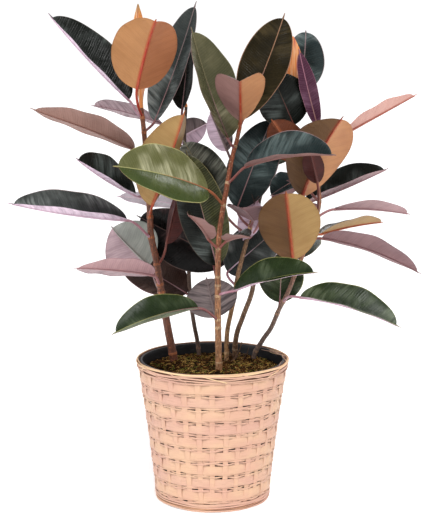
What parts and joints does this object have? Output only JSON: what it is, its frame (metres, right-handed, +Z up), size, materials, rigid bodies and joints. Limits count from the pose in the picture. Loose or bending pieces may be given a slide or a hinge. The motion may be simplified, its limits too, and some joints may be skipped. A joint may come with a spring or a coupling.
{
  "type": "potted rubber plant",
  "caption": "Potted rubber plant: slim stems with broad glossy drip-tipped leaves, in a nursery pot that stands in a round woven bamboo basket.",
  "frame": {"origin": "middle of the basket's flat underside", "axes": "+Z up along the basket's axis, +X to the right and +Y to the back as the plant is seen in the picture"},
  "size_m": [0.7555, 0.5002, 0.9312],
  "materials": {
    "bamboo": "woven split bamboo, pale peach, satin",
    "bamboo_edge": "thin bamboo splints, a little browner, satin",
    "pot": "black moulded plastic",
    "soil": "moist dark potting soil",
    "moss": "bark crumbs and dry moss",
    "bark": "smooth brown bark with ring scars",
    "leaf_dark": "glossy, nearly black green upper side",
    "leaf_green": "glossy green upper side",
    "leaf_olive": "glossy olive upper side with pale veins",
    "leaf_orange": "satin orange-brown underside, red midrib",
    "leaf_tan": "satin olive-tan underside, red midrib",
    "leaf_mauve": "satin mauve underside",
    "leaf_lilac": "satin pale lilac underside",
    "leaf_maroon": "satin maroon-brown underside"
  },
  "bodies": {
    "root": {"basket_wall": "bamboo", "basket_rim": "bamboo_edge", "basket_foot": "bamboo_edge", "nursery_pot": "pot", "soil": "soil", "moss": "moss", "stem_left": "bark", "stem_back": "bark", "stem_middle": "bark", "stem_inner": "bark", "stem_branch": "bark", "stem_right": "bark", "leaf_left_round": "leaf_orange", "leaf_left_high": "leaf_dark", "leaf_left_upright": "leaf_olive", "leaf_left_far": "leaf_mauve", "leaf_left_brown": "leaf_mauve", "leaf_left_pointing": "leaf_dark", "leaf_left_rising": "leaf_orange", "leaf_left_long": "leaf_dark", "leaf_left_lilac": "leaf_lilac", "leaf_left_beige": "leaf_mauve", "leaf_left_maroon": "leaf_maroon", "leaf_middle_green": "leaf_green", "leaf_middle_heart": "leaf_orange", "leaf_middle_tall": "leaf_olive", "leaf_middle_tip": "leaf_olive", "leaf_middle_teal": "leaf_dark", "leaf_middle_veined": "leaf_olive", "leaf_inner_shiny": "leaf_dark", "leaf_inner_teal": "leaf_dark", "leaf_middle_slope": "leaf_dark", "leaf_middle_pink_left": "leaf_mauve", "leaf_middle_pink_right": "leaf_mauve", "leaf_middle_low": "leaf_green", "leaf_middle_streaked": "leaf_mauve", "leaf_middle_front": "leaf_green", "leaf_branch_wide": "leaf_dark", "leaf_back_low": "leaf_maroon", "leaf_back_narrow": "leaf_dark", "leaf_back_spread": "leaf_green", "leaf_inner_slate": "leaf_dark", "leaf_inner_mauve": "leaf_mauve", "leaf_right_teal": "leaf_dark", "leaf_right_brown": "leaf_orange", "leaf_branch_round": "leaf_dark", "leaf_branch_purple": "leaf_maroon", "leaf_branch_black": "leaf_dark", "leaf_branch_spread": "leaf_green", "leaf_right_round": "leaf_tan", "leaf_right_folded": "leaf_dark", "leaf_right_mauve": "leaf_mauve", "leaf_right_level": "leaf_tan", "leaf_right_drooping": "leaf_mauve", "leaf_right_low": "leaf_green", "leaf_right_bright": "leaf_green", "leaf_right_spread": "leaf_green", "leaf_right_maroon": "leaf_maroon", "leaf_right_tan": "leaf_tan", "leaf_right_salmon": "leaf_orange"}
  },
  "joints": []
}
